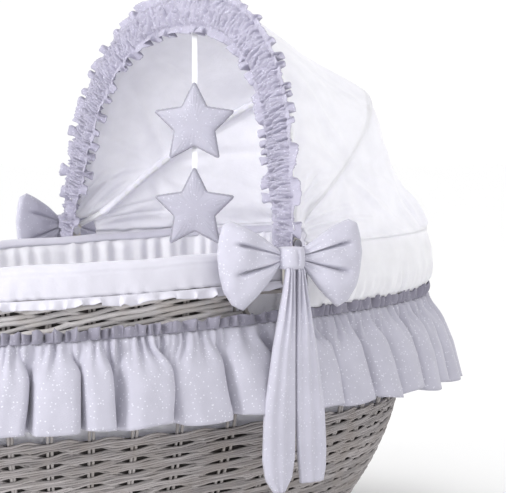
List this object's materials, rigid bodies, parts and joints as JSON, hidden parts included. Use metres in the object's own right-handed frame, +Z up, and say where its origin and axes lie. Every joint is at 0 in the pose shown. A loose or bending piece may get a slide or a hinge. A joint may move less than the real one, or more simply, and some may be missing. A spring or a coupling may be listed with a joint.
{
  "type": "moses basket",
  "caption": "Oval wicker baby basket with a folding fabric hood, frilled skirt, white liner, side bows and hanging padded stars.",
  "frame": {"origin": "centre of the flat foot border, on the floor", "axes": "+Z up, +X towards the hood's end, +Y across the basket"},
  "size_m": [1.022, 0.6522, 0.7668],
  "materials": {
    "wicker": "grey washed willow rods, matt",
    "wicker_dark": "grey washed willow, matt, shaded",
    "white_cotton": "thin plain-weave cotton",
    "spotted_cotton": "pale lavender-grey plain-weave cotton with small irregular white dots",
    "white_ribbon": "soft satin ribbon",
    "elastic": "braided white elastic",
    "ivory_plastic": "moulded off-white plastic",
    "hoop_plastic": "smooth white rod",
    "steel": "zinc-plated",
    "foam": "open-cell foam",
    "mattress_cotton": "quilted white cotton"
  },
  "bodies": {
    "basket": {"foot_border": "wicker", "base_sticks": "wicker", "base_mat": "wicker", "lower_weave": "wicker", "stakes": "wicker_dark", "upper_weave": "wicker", "rim_border": "wicker", "grip_binding_near": "wicker_dark", "grip_binding_far": "wicker_dark", "liner_floor": "white_cotton", "liner_wall": "white_cotton", "liner_cuff": "white_cotton", "liner_frill": "white_cotton", "skirt_elastic": "elastic", "skirt_heading": "spotted_cotton", "skirt_valance": "spotted_cotton", "hood_bracket_near": "ivory_plastic", "hood_bracket_far": "ivory_plastic", "bracket_nuts": "steel", "bracket_screws": "steel", "pivot_pin_near": "steel", "pivot_pin_far": "steel", "hood_rear_panel": "white_cotton", "hood_lower_band": "white_cotton", "bow_loops_near": "spotted_cotton", "bow_knot_near": "spotted_cotton", "bow_tails_near": "spotted_cotton", "bow_loops_far": "spotted_cotton", "bow_knot_far": "spotted_cotton", "bow_tails_far": "spotted_cotton"},
    "rear_bow": {"rear_hoop": "hoop_plastic", "rear_hoop_ends": "ivory_plastic", "hood_front_panel": "white_cotton"},
    "front_bow": {"front_hoop": "hoop_plastic", "front_hoop_ends": "ivory_plastic", "hood_trim": "spotted_cotton"},
    "ribbon_loop": {"ribbon_tab": "white_ribbon"},
    "star_string": {"star_ribbon": "white_ribbon", "upper_star": "spotted_cotton", "lower_star": "spotted_cotton"},
    "mattress": {"mattress_core": "foam", "mattress_cover": "mattress_cotton"}
  },
  "joints": [
    {"name": "hood_fold", "type": "hinge", "parent": "basket", "child": "rear_bow", "pos_m": [0.058, 0, 0.41786], "axis": [0, 1, 0], "range_deg": [0, 26], "deforming": ["hood_rear_panel"]},
    {"name": "front_fold", "type": "hinge", "parent": "rear_bow", "child": "front_bow", "pos_m": [0.058, 0, 0.41786], "axis": [0, 1, 0], "range_deg": [0, 33], "deforming": ["hood_front_panel"]},
    {"name": "ribbon_level", "type": "hinge", "parent": "front_bow", "child": "ribbon_loop", "pos_m": [0.09593, 0, 0.74567], "axis": [0, 1, 0], "range_deg": [-60, 0.5]},
    {"name": "star_swing", "type": "hinge", "parent": "ribbon_loop", "child": "star_string", "pos_m": [0.09593, 0, 0.74567], "axis": [1, 0, 0], "range_deg": [-10, 10]},
    {"name": "mattress_lift", "type": "slide", "parent": "basket", "child": "mattress", "axis": [0, 0, 1], "range_m": [0, 0.12]}
  ],
  "couplings": [
    {"joint": "front_fold", "follows": "hood_fold", "ratio": 1.246},
    {"joint": "ribbon_level", "follows": "hood_fold", "ratio": -2.246}
  ]
}
